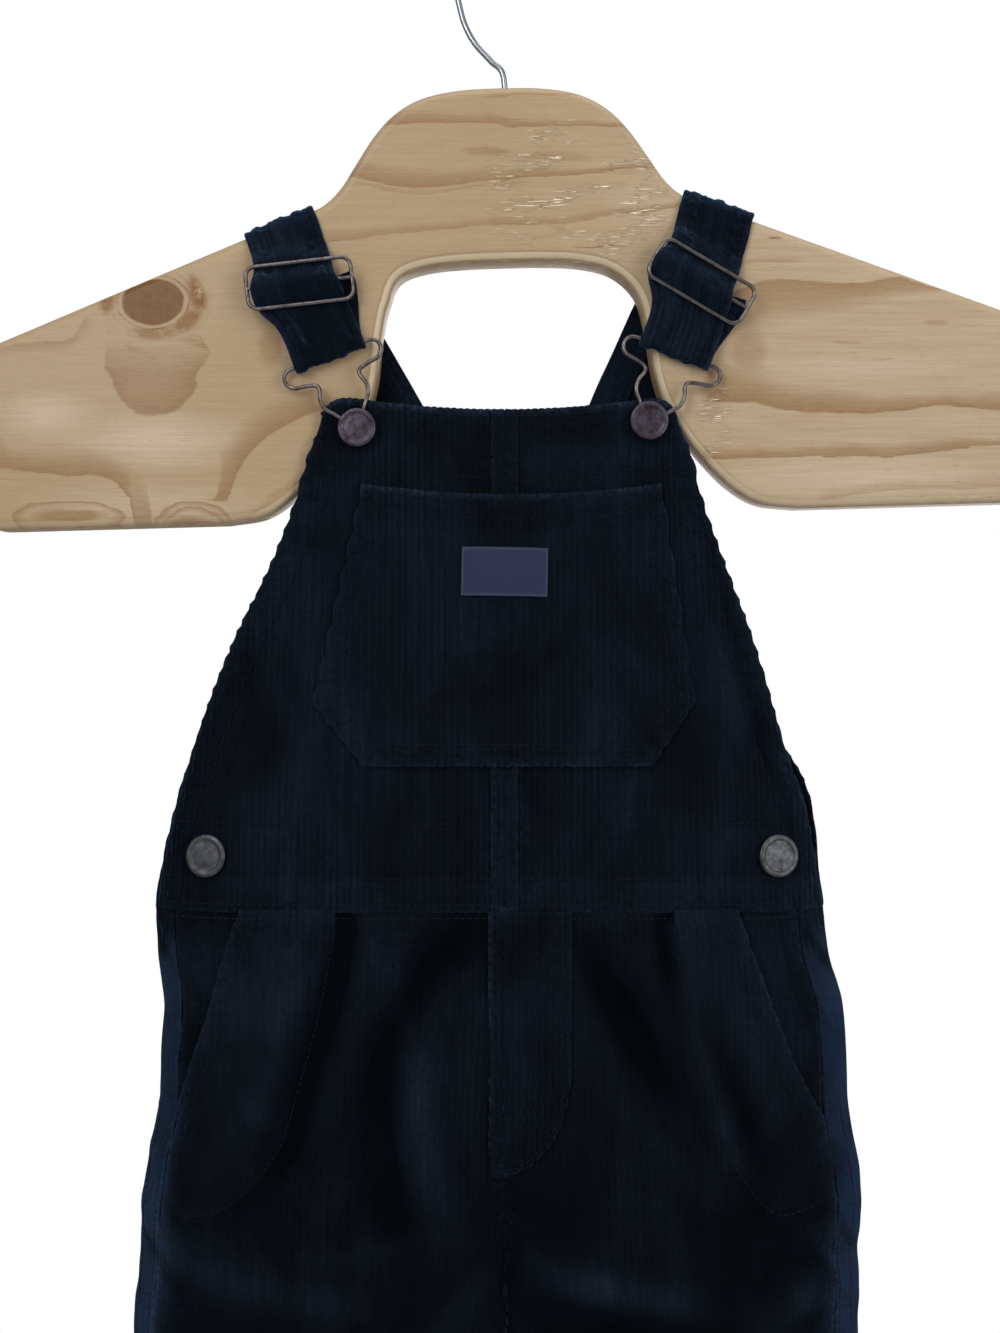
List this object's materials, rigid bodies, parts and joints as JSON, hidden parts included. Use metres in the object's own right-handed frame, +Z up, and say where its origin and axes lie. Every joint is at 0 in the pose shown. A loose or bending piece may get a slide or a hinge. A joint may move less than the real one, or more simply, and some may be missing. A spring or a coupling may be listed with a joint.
{
  "type": "bib overalls on a wooden hanger",
  "caption": "Toddler's bib overalls in dark fine-wale corduroy with a bib pocket, buttoned wire buckles and sliders, hung by the straps on a wide wooden arch hanger with a wire hook.",
  "frame": {"origin": "the point under the inner top of the hanger's hook, where a rod carries it", "axes": "+Z up, the garment's front faces -Y, +X to the right of someone who looks at the front"},
  "size_m": [0.4629, 0.0463, 0.8355],
  "materials": {
    "corduroy": "fine-wale cotton corduroy, midnight navy",
    "label_cloth": "woven tape, slate navy",
    "aged_copper": "antique copper, satin",
    "aged_steel": "aged steel wire",
    "varnished_pine": "pale pine ply under gloss varnish",
    "hook_steel": "plain steel wire"
  },
  "bodies": {
    "root": {"bib_front_left": "corduroy", "bib_front_right": "corduroy", "bib_centre_fell": "corduroy", "bib_pocket": "corduroy", "back_bib_left": "corduroy", "back_bib_right": "corduroy", "side_placket_left": "corduroy", "side_placket_right": "corduroy", "front_leg_left": "corduroy", "front_leg_right": "corduroy", "fly_flap": "corduroy", "hip_facing_left": "corduroy", "hip_facing_right": "corduroy", "back_leg_left": "corduroy", "back_leg_right": "corduroy", "strap_left": "corduroy", "strap_right": "corduroy", "bib_label": "label_cloth", "bib_button_left": "aged_copper", "bib_button_right": "aged_copper", "side_button_left": "aged_steel", "side_button_right": "aged_steel", "slider_left": "aged_steel", "slider_right": "aged_steel", "buckle_left": "aged_steel", "buckle_right": "aged_steel", "hanger_board": "varnished_pine", "hanger_hook": "hook_steel"}
  },
  "joints": []
}
